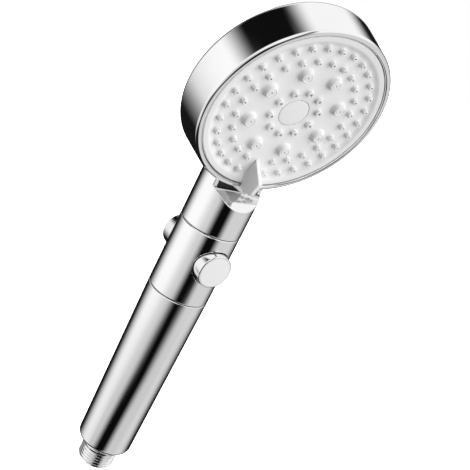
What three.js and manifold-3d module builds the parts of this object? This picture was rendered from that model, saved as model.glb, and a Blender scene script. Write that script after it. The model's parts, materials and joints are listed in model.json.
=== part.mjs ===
// Handheld shower head with a turning spray disc and a push-through stop valve in the handle.
// Millimetres, +Z up along the handle. The origin is the centre of the hose thread's end face,
// the spray side looks towards -Y, and the head leans forward over the handle.

import * as THREE from 'three';
import { mergeVertices } from 'three/addons/utils/BufferGeometryUtils.js';
import Module from 'manifold-3d';

const wasm = await Module();
wasm.setup();

// Clearance between pieces that touch or slide on each other.
const GAP = 0.3;

// Handle, from the thread up.
const HANDLE_R = 17.2;
const GRIP_END_R = 15.6;
const SHOULDER_Z = 13.6;
const LOWER_SEAM_Z = 119.5;
const UPPER_SEAM_Z = 161.6;
const SEAM = 0.4;
const SLEEVE_WALL = 2;

// Hose thread, G 1/2: 14 turns to the inch.
const THREAD_R = 10.48;
const THREAD_ROOT_R = 9.32;
const THREAD_PITCH = 1.814;
const THREAD_TURNS = 6;
const THREAD_SIDES = 20;
const THREAD_ROWS_PER_TURN = 4;

// Inlet fitting: a flange inside the grip's end, and a collar that the lower water tube plugs into.
const INLET_BORE_R = 7.2;
const INLET_BORE_END = 12;
const INLET_PORT_R = 4.2;
const INLET_SOCKET_FLOOR = 28;
const INLET_TOP = 44;
const COLLAR_R = 9.2;
const FLANGE_R = 13;
const FLANGE_HEIGHT = 3;
const GRIP_FLOOR = 2.5;

// Water tubes and the sockets they plug into.
const TUBE_R = 6;
const TUBE_BORE_R = 4;
const SOCKET_R = TUBE_R + GAP;
const RING_WIRE_R = 0.5;
const RING_MID_R = 5.62;
const GROOVE_FLOOR_R = 4.9;
const GROOVE_HALF = 0.9;
const LOWER_TUBE = { low: 28.5, high: 118.5, rings: [33, 113] };
const UPPER_TUBE = { low: 158.5, high: 201, rings: [164, 196.2] };
const UPPER_TUBE_Y = 7.2;

// Stop valve.
const VALVE_Z = 144.2;
const BUTTON_R = 9.86;
const BUTTON_LENGTH = 9;
const FRONT_BUTTON_Y = -20.55;
const REAR_BUTTON_Y = 22.7;
const BUTTON_WALL = 1.4;
const SPOOL_R = 5;
const SPOOL_END = 15.2;
const SPOOL_Y = 1.1;
const SPOOL_RINGS = [['front', -6.6], ['rear', 6.6]];
const SPOOL_RING_R = 4.55;
const SPOOL_RING_WIRE_R = 0.45;

// Head: the face plane leans forward by TILT about FACE_CENTRE, and the rim stands RIM_TOP above it.
const TILT = THREE.MathUtils.degToRad(14.7);
const FACE_CENTRE = new THREE.Vector3(0, -20.2, 238.2);
const RIM_R = 51.8;
const RIM_TOP = 0.9;
const RIM_ROUND = 2;
const DRUM_BACK_R = 53.1;
const DRUM_BACK_ROUND = 3.5;
const DRUM_DEPTH = 22;
const DRUM_DOME = 4;
const LIP_R = 48.7;
const CAVITY_DEPTH = 19.8;
const NOSE_Z = 190;
const NOSE_LENGTH = 50;

// Spray disc. Heights are measured from the face plane, positive towards the user.
const DISC_R = LIP_R - GAP;
const DISH_HEIGHT = -1.5;
const DISC_BACK = -4.6;
const HUB_BACK = -10.1;
const SKIRT_BACK = -7.2;
const LEVER_HALF = 1.35;
const LEVER_OUTER = -50.4;
const LEVER_INNER = -32.4;
const LEVER_PLATE = 1;
const LEVER_PLATE_HALF = 5.65;
const LEVER_PLATE_TOP = 5.2;
const LEVER_CLEARANCE = RIM_TOP + GAP;
const LEVER_ROOT_LENGTH = 12;
const LEVER_ROOT_Y = -39.5;
const MODE_STEP = THREE.MathUtils.degToRad(26);
const BADGE_R = 8;

// The rings of silicone nozzles. A ring has count places, evenly spaced from the angle first in
// degrees, and a place under the lever stays empty.
const LEVER_ANGLE = 270;
const NOZZLE_RINGS = [
  { radius: 40.65, count: 30, first: 6, base: 1.7, tip: 1.25, height: 1.1 },
  { radius: 32.64, count: 24, first: 0, base: 1.7, tip: 1.25, height: 1.0 },
  { radius: 13.43, count: 10, first: 18, base: 1.8, tip: 1.65, height: 0.0 },
];
const MASSAGE = { radius: 24.5, count: 8, first: 22.5, base: 3.7, tip: 2.9, height: 1.4 };

// Inside the head, as depths behind the face plane.
const MAT_FRONT = -DISC_BACK + GAP;
const MAT_BACK = MAT_FRONT + 1.8;
const MAT_R = 43.4;
const SELECTOR_FRONT = MAT_BACK + GAP;
const SELECTOR_BACK = 10.6;
const SELECTOR_BACK_R = 38.5;
const HUB_R = 7;
const DISTRIBUTOR_FRONT = SELECTOR_BACK + 0.7;
const DISTRIBUTOR_BACK = 19.3;
const DISTRIBUTOR_R = 44;
const CHANNEL_DEPTH = 15.5;
const CHANNEL_R = 2.6;
const PORT_RADIUS = 24.5;
const DETENT_RADIUS = 34;
const DETENT_ANGLE = 45;
const DETENT_BALL_R = 1.5;

// Screws that hold the water distributor to the head's back wall.
const SCREW_RADIUS = 37;
const SCREW_ANGLES = [20, 90, 160];
const SCREW_SEAT = DISTRIBUTOR_FRONT + 2.2;

// Facets round a full circle, from the big shells down to screws.
const COARSE = 44;
const ROUND = 28;
const MEDIUM = 20;
const SMALL = 14;
const TINY = 8;
const NOZZLE_SIDES = 5;
const HOLE_SIDES = 6;
const WIRE_SIDES = 4;
const CURVE_STEPS = 3;

const chrome = new THREE.MeshStandardMaterial({ color: 0xd9dcdf, roughness: 0.08, metalness: 1 });
const satin = new THREE.MeshStandardMaterial({ color: 0xdfe0e1, roughness: 0.4, metalness: 0 });
const silicone = new THREE.MeshStandardMaterial({ color: 0xdadbdc, roughness: 0.55, metalness: 0 });
const acetal = new THREE.MeshStandardMaterial({ color: 0xeeeeea, roughness: 0.45, metalness: 0 });
const rubber = new THREE.MeshStandardMaterial({ color: 0x1c1c1d, roughness: 0.7, metalness: 0 });
const steel = new THREE.MeshStandardMaterial({ color: 0xb4b6b8, roughness: 0.3, metalness: 1 });
const brass = new THREE.MeshStandardMaterial({ color: 0xc8a866, roughness: 0.3, metalness: 1 });

// Turns a three.js geometry into a solid that can be joined and cut.
function solid(geometry) {
  const bare = geometry.clone();
  bare.deleteAttribute('normal');
  bare.deleteAttribute('uv');
  const merged = mergeVertices(bare, 1e-4);
  const index = merged.index.array;
  const triVerts = [];
  for (let i = 0; i < index.length; i += 3) {
    const [a, b, c] = [index[i], index[i + 1], index[i + 2]];
    if (a !== b && b !== c && c !== a) {
      triVerts.push(a, b, c);
    }
  }
  return new wasm.Manifold(new wasm.Mesh({
    numProp: 3,
    vertProperties: new Float32Array(merged.attributes.position.array),
    triVerts: new Uint32Array(triVerts),
  }));
}

// A solid turned about +Z from [radius, z] points that run up the outside and down the inside.
function turned(profile, segments = MEDIUM) {
  const points = profile.map(([r, z]) => new THREE.Vector2(r, z));
  const hollow = profile[0][0] > 0;
  if (hollow) {
    points.push(points[0].clone());
  }
  const geometry = new THREE.LatheGeometry(points, segments);
  geometry.rotateX(Math.PI / 2);
  return solid(geometry);
}

function rod(radius, low, high, segments = MEDIUM) {
  return turned([[0, low], [radius, low], [radius, high], [0, high]], segments);
}

function pipe(outer, inner, low, high, segments = MEDIUM) {
  return turned([[outer, low], [outer, high], [inner, high], [inner, low]], segments);
}

function cone(low, lowRadius, high, highRadius, segments) {
  return turned([[0, low], [lowRadius, low], [highRadius, high], [0, high]], segments);
}

// The corners of a round wire's section about its middle.
function wireSection(radius) {
  const corners = [];
  for (let i = 0; i < WIRE_SIDES; i++) {
    corners.push(polar(radius, (360 / WIRE_SIDES) * i));
  }
  return corners;
}

function oRing(radius, wire, z) {
  const profile = wireSection(wire).map(([across, along]) => [radius + across, z + along]);
  return turned(profile, SMALL);
}

function moved(body, x, y, z) {
  return body.transform(new THREE.Matrix4().makeTranslation(x, y, z).elements);
}

function transformed(body, matrix) {
  return body.transform(matrix.elements);
}

function polar(radius, degrees) {
  const angle = THREE.MathUtils.degToRad(degrees);
  return [radius * Math.cos(angle), radius * Math.sin(angle)];
}

function geometryOf(body) {
  const mesh = body.getMesh();
  const geometry = new THREE.BufferGeometry();
  geometry.setAttribute('position', new THREE.BufferAttribute(mesh.vertProperties, 3));
  geometry.setIndex(new THREE.BufferAttribute(mesh.triVerts, 1));
  geometry.computeVertexNormals();
  return geometry;
}

function add(group, name, body, material) {
  const mesh = new THREE.Mesh(geometryOf(body), material);
  mesh.name = name;
  group.add(mesh);
}

// A coil spring: a round wire along a helix about +Z.
class Helix extends THREE.Curve {
  constructor(radius, low, high, turns) {
    super();
    Object.assign(this, { radius, low, high, turns });
  }

  getPoint(t) {
    const angle = 2 * Math.PI * this.turns * t;
    const z = this.low + (this.high - this.low) * t;
    return new THREE.Vector3(this.radius * Math.cos(angle), this.radius * Math.sin(angle), z);
  }
}

function spring(radius, wire, low, high, turns) {
  const section = new THREE.Shape(wireSection(wire).map((corner) => new THREE.Vector2(...corner)));
  const path = new Helix(radius, low, high, turns);
  return solid(new THREE.ExtrudeGeometry(section, { steps: turns * TINY, extrudePath: path }));
}

// The radius of a 55 degree thread with rounded crests, at a height and an angle.
function threadRadius(z, angle) {
  const phase = (z / THREAD_PITCH - angle / (2 * Math.PI)) * 2 * Math.PI;
  const wave = 0.5 + 0.5 * Math.cos(phase);
  return THREAD_ROOT_R + (THREAD_R - THREAD_ROOT_R) * wave;
}

// The threaded nose of the inlet: a closed skin of rings whose radius follows the thread.
function threadedNose() {
  const around = THREAD_SIDES;
  const rows = THREAD_TURNS * THREAD_ROWS_PER_TURN;
  const length = THREAD_TURNS * THREAD_PITCH;
  const positions = [];
  for (let row = 0; row <= rows; row++) {
    const z = (length * row) / rows;
    const chamfer = Math.min(THREAD_R, THREAD_ROOT_R + Math.min(z, length - z));
    for (let i = 0; i < around; i++) {
      const angle = (2 * Math.PI * i) / around;
      const radius = Math.min(chamfer, threadRadius(z, angle));
      positions.push(radius * Math.cos(angle), radius * Math.sin(angle), z);
    }
  }
  const bottom = positions.length / 3;
  positions.push(0, 0, 0, 0, 0, length);
  const index = [];
  for (let i = 0; i < around; i++) {
    const next = (i + 1) % around;
    for (let row = 0; row < rows; row++) {
      const [a, b] = [row * around + i, row * around + next];
      index.push(a, b, b + around, a, b + around, a + around);
    }
    index.push(bottom, next, i);
    index.push(bottom + 1, rows * around + i, rows * around + next);
  }
  const geometry = new THREE.BufferGeometry();
  geometry.setAttribute('position', new THREE.Float32BufferAttribute(positions, 3));
  geometry.setIndex(index);
  return solid(geometry);
}

// The inlet: the threaded nose, its flange and collar, and the stepped bore through them.
function inletFitting() {
  const noseTop = THREAD_TURNS * THREAD_PITCH - 1;
  const flangeLow = SHOULDER_Z + GRIP_FLOOR + GAP;
  const flangeHigh = flangeLow + FLANGE_HEIGHT;
  const body = turned([
    [0, noseTop], [THREAD_ROOT_R, noseTop], [THREAD_ROOT_R, flangeLow], [FLANGE_R, flangeLow],
    [FLANGE_R, flangeHigh], [COLLAR_R, flangeHigh + 1], [COLLAR_R, INLET_TOP], [0, INLET_TOP],
  ]);
  const bore = turned([
    [0, -1], [INLET_BORE_R, -1], [INLET_BORE_R, INLET_BORE_END], [INLET_PORT_R, INLET_BORE_END],
    [INLET_PORT_R, INLET_SOCKET_FLOOR], [SOCKET_R, INLET_SOCKET_FLOOR], [SOCKET_R, INLET_TOP + 1],
    [0, INLET_TOP + 1],
  ]);
  return threadedNose().add(body).subtract(bore);
}

// A thin disc with a middle hole and a ring of holes round it.
function inletFilter() {
  const low = 6.6;
  const high = 7.5;
  const hole = rod(1.3, low - 1, high + 1, HOLE_SIDES);
  const body = rod(INLET_BORE_R - GAP, low, high, SMALL);
  return withHoles(body.subtract(hole), hole, 3.9, 6, 0);
}

// A flat bobbin with a groove for its O-ring and four water holes through it.
function flowRegulator() {
  const low = 7.9;
  const high = 11.6;
  const rim = 6.8;
  const groove = 5.7;
  const body = turned([
    [0, low], [rim, low], [rim, low + 1], [groove, low + 1], [groove, high - 1.1],
    [rim, high - 1.1], [rim, high], [0, high],
  ], SMALL);
  return withHoles(body, rod(1.4, low - 1, high + 1, HOLE_SIDES), 3.1, 4, 45);
}

// Cuts the same hole at count even places round a circle, from the angle first in degrees.
function withHoles(body, hole, radius, count, first) {
  let cut = body;
  for (let i = 0; i < count; i++) {
    const [x, y] = polar(radius, first + (360 / count) * i);
    cut = cut.subtract(moved(hole, x, y, 0));
  }
  return cut;
}

// The tapered chrome grip: a rounded lower end, and a floor with a hole for the inlet.
function gripSleeve() {
  const low = SHOULDER_Z;
  const high = LOWER_SEAM_Z - SEAM / 2;
  const floor = low + GRIP_FLOOR;
  const inner = GRIP_END_R - SLEEVE_WALL;
  return turned([
    [GRIP_END_R - 2.6, low], [GRIP_END_R - 1.2, low + 0.35], [GRIP_END_R - 0.35, low + 1.2],
    [GRIP_END_R, low + 2.6], [HANDLE_R, high - 0.3], [HANDLE_R - 0.3, high],
    [HANDLE_R - SLEEVE_WALL, high], [inner, floor], [THREAD_ROOT_R + GAP, floor],
    [THREAD_ROOT_R + GAP, low],
  ], ROUND);
}

// A plain water tube with a groove for an O-ring near each end.
function waterTube({ low, high, rings }) {
  const profile = [[TUBE_R, low]];
  for (const z of rings) {
    profile.push([TUBE_R, z - GROOVE_HALF], [GROOVE_FLOOR_R, z - GROOVE_HALF]);
    profile.push([GROOVE_FLOOR_R, z + GROOVE_HALF], [TUBE_R, z + GROOVE_HALF]);
  }
  profile.push([TUBE_R, high], [TUBE_BORE_R, high], [TUBE_BORE_R, low]);
  return turned(profile, SMALL);
}

// The short sleeve between the two seams, with a hole through it for the buttons.
function valveSleeve() {
  const low = LOWER_SEAM_Z + SEAM / 2;
  const high = UPPER_SEAM_Z - SEAM / 2;
  const tube = turned([
    [HANDLE_R - 0.3, low], [HANDLE_R, low + 0.3], [HANDLE_R, high - 0.3], [HANDLE_R - 0.3, high],
    [HANDLE_R - SLEEVE_WALL, high], [HANDLE_R - SLEEVE_WALL, low],
  ], ROUND);
  const opening = alongY(rod(BUTTON_R + GAP, -30, 30, ROUND));
  return tube.subtract(moved(opening, 0, 0, VALVE_Z));
}

// Lays a piece turned about +Z along +Y.
function alongY(body) {
  return transformed(body, new THREE.Matrix4().makeRotationX(-Math.PI / 2));
}

// The valve body: sockets for both water tubes, the spool's cross bore and a slanted riser.
function valveBody() {
  const column = turned([
    [0, 106], [9.2, 106], [9.2, 120.5], [14.8, 120.5], [14.8, 124], [9, 126], [9, 154.5],
    [14.6, 156.5], [14.6, 169.5], [0, 169.5],
  ]);
  const cross = moved(alongY(rod(8.6, -8.9, 8.9)), 0, 0, VALVE_Z);
  const spoolBore = moved(alongY(rod(SPOOL_R + GAP, -12, 12)), 0, 0, VALVE_Z);
  const lowerSocket = turned([
    [0, 105], [SOCKET_R, 105], [SOCKET_R, 119], [3.6, 119], [3.6, VALVE_Z], [0, VALVE_Z],
  ]);
  const socketFloor = 158;
  const rise = socketFloor + 1 - VALVE_Z;
  const slant = Math.atan2(UPPER_TUBE_Y, rise);
  const riser = transformed(
    rod(3, 0, Math.hypot(rise, UPPER_TUBE_Y), 12),
    new THREE.Matrix4().makeTranslation(0, 0, VALVE_Z)
      .multiply(new THREE.Matrix4().makeRotationX(-slant)),
  );
  const upperSocket = moved(rod(SOCKET_R, socketFloor, 171), 0, UPPER_TUBE_Y, 0);
  return column.add(cross).subtract(spoolBore).subtract(lowerSocket).subtract(riser)
    .subtract(upperSocket);
}

// The spool slides across the handle: two ring grooves, a narrow waist and a threaded hole each end.
function valveSpool() {
  const groove = (y) => [
    [SPOOL_R, y - 0.8], [SPOOL_R - 1.1, y - 0.8], [SPOOL_R - 1.1, y + 0.8], [SPOOL_R, y + 0.8],
  ];
  const body = turned([
    [0, -SPOOL_END], [SPOOL_R - 1, -SPOOL_END], [SPOOL_R - 1, -9], [SPOOL_R, -9], ...groove(-6.6),
    [SPOOL_R, -3.4], [2.2, -2.6], [2.2, 2.6], [SPOOL_R, 3.4], ...groove(6.6),
    [SPOOL_R, 9], [SPOOL_R - 1, 9], [SPOOL_R - 1, SPOOL_END], [0, SPOOL_END],
  ], SMALL);
  const hole = rod(1.6, SPOOL_END - 6, SPOOL_END + 1, TINY);
  return alongY(body.subtract(hole).subtract(moved(hole, 0, 0, 5 - 2 * SPOOL_END)));
}

// A push button along +Z, its outer face at height 0 and its skirt running back.
function buttonCap() {
  return turned([
    [BUTTON_R - BUTTON_WALL, -BUTTON_LENGTH], [BUTTON_R, -BUTTON_LENGTH], [BUTTON_R, -0.7],
    [BUTTON_R - 0.7, 0], [BUTTON_R - 1.5, 0], [BUTTON_R - 1.5, -1.5],
    [3.6, -1.5], [3.6, -3.6], [2, -3.6], [2, -5.1], [BUTTON_R - BUTTON_WALL, -5.1],
  ]);
}

function buttonInlay() {
  const radius = BUTTON_R - 1.8;
  return turned([[0, -1.2], [radius, -1.2], [radius, -0.2], [0, 0.15]]);
}

// A slotted pan-head screw along +Z with its head above height 0.
function panScrew(headRadius, headHeight, shankRadius, length) {
  const head = turned([
    [0, -length], [shankRadius, -length], [shankRadius, 0], [headRadius, 0],
    [headRadius, headHeight * 0.6], [headRadius * 0.7, headHeight], [0, headHeight],
  ], TINY);
  const slotDepth = headHeight * 0.45;
  const slot = new THREE.BoxGeometry(headRadius * 1.1, headRadius * 0.35, 2 * slotDepth);
  slot.translate(0, 0, headHeight);
  return head.subtract(solid(slot));
}

// The frame of the spray face: x across, y up along the face, z out of it.
const faceMatrix = new THREE.Matrix4().makeRotationX(Math.PI / 2 + TILT).setPosition(FACE_CENTRE);

// The drum: a domed back, a rounded back edge, a slightly tapered side and a rounded rim.
function drum() {
  const profile = [
    [0, -DRUM_DEPTH - DRUM_DOME],
    [DRUM_BACK_R * 0.35, -DRUM_DEPTH - DRUM_DOME * 0.88],
    [DRUM_BACK_R * 0.7, -DRUM_DEPTH - DRUM_DOME * 0.5],
    [DRUM_BACK_R - DRUM_BACK_ROUND, -DRUM_DEPTH],
    [DRUM_BACK_R - DRUM_BACK_ROUND * 0.3, -DRUM_DEPTH + DRUM_BACK_ROUND * 0.3],
    [DRUM_BACK_R, -DRUM_DEPTH + DRUM_BACK_ROUND],
    [RIM_R, RIM_TOP - RIM_ROUND],
    [RIM_R - RIM_ROUND * 0.3, RIM_TOP - RIM_ROUND * 0.3],
    [RIM_R - RIM_ROUND, RIM_TOP],
    [0, RIM_TOP],
  ];
  return transformed(turned(profile, COARSE), faceMatrix);
}

// The neck and the rounded nose that carries it up behind the drum.
function neck() {
  const profile = [
    [0, UPPER_SEAM_Z + SEAM / 2], [HANDLE_R - 0.3, UPPER_SEAM_Z + SEAM / 2],
    [HANDLE_R, UPPER_SEAM_Z + SEAM / 2 + 0.3], [HANDLE_R, NOSE_Z],
  ];
  const steps = 6;
  for (let i = 1; i <= steps; i++) {
    const angle = (Math.PI / 2) * (i / steps);
    const radius = i === steps ? 0 : HANDLE_R * Math.cos(angle);
    profile.push([radius, NOSE_Z + NOSE_LENGTH * Math.sin(angle)]);
  }
  return turned(profile, ROUND);
}

// A prism along X from an outline of [y, z] points, reaching half its width each way.
function prismAlongX(outline, half) {
  const options = { depth: 2 * half, bevelEnabled: false, curveSegments: CURVE_STEPS };
  const prism = new THREE.ExtrudeGeometry(outline, options);
  const [across, up, out] = [
    new THREE.Vector3(0, 1, 0), new THREE.Vector3(0, 0, 1), new THREE.Vector3(1, 0, 0),
  ];
  prism.translate(0, 0, -half).applyMatrix4(new THREE.Matrix4().makeBasis(across, up, out));
  return solid(prism);
}

// The finger scoop below the lever: a slope cut into the neck's front, then a short ledge.
function scoop() {
  const front = -30;
  const wall = -6.5;
  const top = 215;
  const outline = new THREE.Shape();
  outline.moveTo(front, 168.9);
  outline.lineTo(-10.9, 184.1);
  outline.lineTo(wall, 186.7);
  outline.lineTo(wall, top);
  outline.lineTo(front, top);
  outline.closePath();
  return prismAlongX(outline, 30);
}

// The head's chrome shell: drum and neck in one, hollow for the head's works and the upper tube.
function headShell() {
  const cavity = transformed(rod(LIP_R, -CAVITY_DEPTH, RIM_TOP + 1, COARSE), faceMatrix);
  const neckBore = rod(HANDLE_R - SLEEVE_WALL, UPPER_SEAM_Z - 1, 171, ROUND);
  const passage = moved(rod(7.8, 170, 204), 0, UPPER_TUBE_Y, 0);
  let body = neck().subtract(scoop()).add(drum()).subtract(cavity).subtract(neckBore)
    .subtract(passage);
  for (const angle of SCREW_ANGLES) {
    const [x, y] = polar(SCREW_RADIUS, angle);
    const hole = moved(rod(1.6, -CAVITY_DEPTH - 1.8, -CAVITY_DEPTH + 1, TINY), x, y, 0);
    body = body.subtract(transformed(hole, faceMatrix));
  }
  return body;
}

// The fixed water distributor, built in the face frame with its tube socket along the handle.
function distributor() {
  const boss = rod(HUB_R - 1, -DISTRIBUTOR_FRONT - 1, -SELECTOR_BACK + 0.2);
  let body = rod(DISTRIBUTOR_R, -DISTRIBUTOR_BACK, -DISTRIBUTOR_FRONT, ROUND).add(boss);
  const toFace = faceMatrix.clone().invert();
  const socket = transformed(moved(rod(7.3, 193, 203), 0, UPPER_TUBE_Y, 0), toFace);
  const socketBore = transformed(moved(rod(SOCKET_R, 192, 201.5), 0, UPPER_TUBE_Y, 0), toFace);
  const channel = transformed(
    rod(CHANNEL_R, -41.5, -PORT_RADIUS, TINY),
    new THREE.Matrix4().makeTranslation(0, 0, -CHANNEL_DEPTH)
      .multiply(new THREE.Matrix4().makeRotationX(-Math.PI / 2)),
  );
  const port = moved(rod(4.9, -CHANNEL_DEPTH, 0, SMALL), 0, -PORT_RADIUS, 0);
  const pilot = rod(1.9, -17.5, 0, TINY);
  const [dx, dy] = polar(DETENT_RADIUS, DETENT_ANGLE);
  const pocket = moved(rod(1.9, -17.2, 0, TINY), dx, dy, 0);
  body = body.add(socket).subtract(socketBore).subtract(channel).subtract(port).subtract(pilot)
    .subtract(pocket);
  for (const angle of SCREW_ANGLES) {
    const [x, y] = polar(SCREW_RADIUS, angle);
    const hole = rod(1.7, -25, 0, TINY).add(rod(3.3, -SCREW_SEAT, 0, TINY));
    body = body.subtract(moved(hole, x, y, 0));
  }
  return body;
}

// The turning plate: three inlet holes in its back feed three ring chambers open to the mat.
function selectorPlate() {
  let body = turned([
    [HUB_R + GAP, -SELECTOR_BACK], [SELECTOR_BACK_R, -SELECTOR_BACK], [SELECTOR_BACK_R, -8.6],
    [MAT_R, -8.6], [MAT_R, -SELECTOR_FRONT], [42.6, -SELECTOR_FRONT], [42.6, -8],
    [30.6, -8], [30.6, -SELECTOR_FRONT], [29, -SELECTOR_FRONT], [29, -8.6], [20, -8.6],
    [20, -SELECTOR_FRONT], [HUB_R + GAP, -SELECTOR_FRONT],
  ], ROUND);
  for (const step of [-1, 0, 1]) {
    const turn = THREE.MathUtils.radToDeg(MODE_STEP) * step;
    const [x, y] = polar(PORT_RADIUS, LEVER_ANGLE + turn);
    body = body.subtract(moved(rod(2.4, -12, 0, TINY), x, y, 0));
    const [nx, ny] = polar(DETENT_RADIUS, DETENT_ANGLE + turn);
    const dimple = rod(1.3, -SELECTOR_BACK - 1, -SELECTOR_BACK + 0.7, HOLE_SIDES);
    body = body.subtract(moved(dimple, nx, ny, 0));
  }
  return body;
}

// Where every nozzle of a ring stands, without the one under the lever.
function nozzlePlaces(ring) {
  const places = [];
  const reachesLever = ring.radius > -LEVER_INNER;
  for (let i = 0; i < ring.count; i++) {
    const angle = ring.first + (360 / ring.count) * i;
    const underLever = reachesLever && Math.abs(angle - LEVER_ANGLE) < 1;
    if (!underLever) {
      places.push(polar(ring.radius, angle));
    }
  }
  return places;
}

// One silicone mat whose nozzles stand through the holes of the face plate.
function nozzleMat() {
  let body = pipe(MAT_R, HUB_R + GAP, -MAT_BACK, -MAT_FRONT, ROUND);
  for (const ring of NOZZLE_RINGS) {
    const nozzle = cone(-MAT_BACK, ring.base, ring.height, ring.tip, NOZZLE_SIDES);
    for (const [x, y] of nozzlePlaces(ring)) {
      body = body.add(moved(nozzle, x, y, 0));
    }
  }
  for (const [x, y] of nozzlePlaces(MASSAGE)) {
    body = body.subtract(moved(rod(MASSAGE.base, -9, 0, TINY), x, y, 0));
  }
  return body;
}

// The satin face plate: a dished front with a hole for each nozzle, a skirt and a hub behind it.
function sprayFace() {
  const seatDepth = DISH_HEIGHT - 1.6;
  let body = turned([
    [2.1, HUB_BACK], [HUB_R, HUB_BACK], [HUB_R, DISC_BACK], [DISC_R - 1.5, DISC_BACK],
    [DISC_R - 1.5, SKIRT_BACK], [DISC_R, SKIRT_BACK], [DISC_R, 0], [45.2, 0], [44.1, -0.7],
    [42.6, DISH_HEIGHT], [BADGE_R + GAP, DISH_HEIGHT], [BADGE_R + GAP, seatDepth],
    [5.4, seatDepth], [5.4, -7], [2.1, -7],
  ], COARSE);
  for (const ring of NOZZLE_RINGS) {
    const hole = rod(ring.base + GAP, DISC_BACK - 1, 1, NOZZLE_SIDES);
    for (const [x, y] of nozzlePlaces(ring)) {
      body = body.subtract(moved(hole, x, y, 0));
    }
  }
  for (const [x, y] of nozzlePlaces(MASSAGE)) {
    const hole = rod(MASSAGE.base, DISC_BACK - 1, 1, TINY);
    body = body.subtract(moved(hole, x, y, 0));
  }
  return body.subtract(leverSeat());
}

// The slot in the face plate that takes the lever's root.
function leverSeat() {
  const slot = new THREE.BoxGeometry(2 * (LEVER_HALF + GAP), LEVER_ROOT_LENGTH + 2 * GAP, 3);
  slot.translate(0, LEVER_ROOT_Y, DISH_HEIGHT - 1);
  return solid(slot);
}

// A wide silicone nozzle with a shallow recess round its bore.
function massageNozzle() {
  const { base, tip, height } = MASSAGE;
  return turned([
    [0.7, -MAT_BACK], [base - GAP, -MAT_BACK], [base - GAP, DISH_HEIGHT - 0.2], [tip, height],
    [tip - 0.8, height], [tip - 0.8, height - 0.5], [0.7, height - 0.5],
  ], TINY);
}

// The lever: an upright fin across the face's lower edge, a thin end plate that spreads from its
// outer end, and a root below it in the face plate.
function selectorLever() {
  const root = new THREE.BoxGeometry(2 * LEVER_HALF, LEVER_ROOT_LENGTH, 2);
  root.translate(0, LEVER_ROOT_Y, DISH_HEIGHT - 0.7);
  return prismAlongX(finOutline(), LEVER_HALF).add(endPlate()).add(solid(root));
}

// The fin's side view. Its underside clears the rim at the outer end and the disc's raised edge.
function finOutline() {
  const foot = DISH_HEIGHT + GAP;
  const step = 0.5;
  const outline = new THREE.Shape();
  outline.moveTo(LEVER_INNER, foot);
  outline.lineTo(-37.6, 9.8);
  outline.quadraticCurveTo(-38.2, 10.9, -39.4, 10.9);
  outline.lineTo(-45.6, 10.8);
  outline.quadraticCurveTo(-46.7, 10.8, -47.2, 9.8);
  outline.lineTo(LEVER_OUTER + LEVER_PLATE, LEVER_PLATE_TOP);
  outline.lineTo(LEVER_OUTER + LEVER_PLATE, LEVER_CLEARANCE);
  outline.lineTo(-46.6, LEVER_CLEARANCE);
  outline.lineTo(-46.2, step);
  outline.lineTo(-43.4, step);
  outline.lineTo(-42, foot);
  outline.closePath();
  return outline;
}

// The plate across the fin's outer end, wide above the rim and narrowing up to the fin.
function endPlate() {
  const edge = LEVER_CLEARANCE + 0.5;
  const outline = new THREE.Shape();
  outline.moveTo(-LEVER_PLATE_HALF, LEVER_CLEARANCE);
  outline.lineTo(LEVER_PLATE_HALF, LEVER_CLEARANCE);
  outline.lineTo(LEVER_PLATE_HALF, edge);
  outline.quadraticCurveTo(LEVER_HALF, edge, LEVER_HALF, LEVER_PLATE_TOP);
  outline.lineTo(-LEVER_HALF, LEVER_PLATE_TOP);
  outline.quadraticCurveTo(-LEVER_HALF, edge, -LEVER_PLATE_HALF, edge);
  outline.closePath();
  const overlap = 0.2;
  const options = {
    depth: LEVER_PLATE + overlap, bevelEnabled: false, curveSegments: CURVE_STEPS,
  };
  const plate = new THREE.ExtrudeGeometry(outline, options);
  plate.rotateX(Math.PI / 2).translate(0, LEVER_OUTER + LEVER_PLATE + overlap, 0);
  return solid(plate);
}

const part = new THREE.Group();

function addHandle() {
  add(part, 'grip_sleeve', gripSleeve(), chrome);
  add(part, 'inlet_fitting', inletFitting(), chrome);
  add(part, 'inlet_filter', inletFilter(), steel);
  add(part, 'flow_regulator', flowRegulator(), acetal);
  add(part, 'flow_regulator_o_ring', oRing(6.3, 0.45, 9.7), rubber);
  addWaterTube(part, 'lower', LOWER_TUBE);
  add(part, 'valve_sleeve', valveSleeve(), chrome);
  add(part, 'valve_body', valveBody(), acetal);
}

// A water tube and the O-rings in its two grooves.
function addWaterTube(group, name, tube) {
  const [bottom, top] = tube.rings;
  add(group, `${name}_water_tube`, waterTube(tube), acetal);
  add(group, `${name}_tube_o_ring_bottom`, oRing(RING_MID_R, RING_WIRE_R, bottom), rubber);
  add(group, `${name}_tube_o_ring_top`, oRing(RING_MID_R, RING_WIRE_R, top), rubber);
}

function addUpperTube() {
  const group = new THREE.Group();
  group.position.y = UPPER_TUBE_Y;
  addWaterTube(group, 'upper', UPPER_TUBE);
  part.add(group);
}

// The spool and its rings, with a button screwed to each of its ends.
function addStopValve() {
  const group = new THREE.Group();
  group.position.z = VALVE_Z;
  add(group, 'valve_spool', moved(valveSpool(), 0, SPOOL_Y, 0), brass);
  for (const [side, y] of SPOOL_RINGS) {
    const ring = alongY(oRing(SPOOL_RING_R, SPOOL_RING_WIRE_R, y));
    add(group, `spool_o_ring_${side}`, moved(ring, 0, SPOOL_Y, 0), rubber);
  }
  for (const [side, y, turn] of [['front', FRONT_BUTTON_Y, 1], ['rear', REAR_BUTTON_Y, -1]]) {
    const button = new THREE.Group();
    button.position.y = y;
    button.rotation.x = (turn * Math.PI) / 2;
    add(button, `button_${side}`, buttonCap(), chrome);
    add(button, `button_inlay_${side}`, buttonInlay(), satin);
    add(button, `button_screw_${side}`, moved(panScrew(3, 1.6, 1.25, 5), 0, 0, -3.3), steel);
    group.add(button);
  }
  part.add(group);
}

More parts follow.
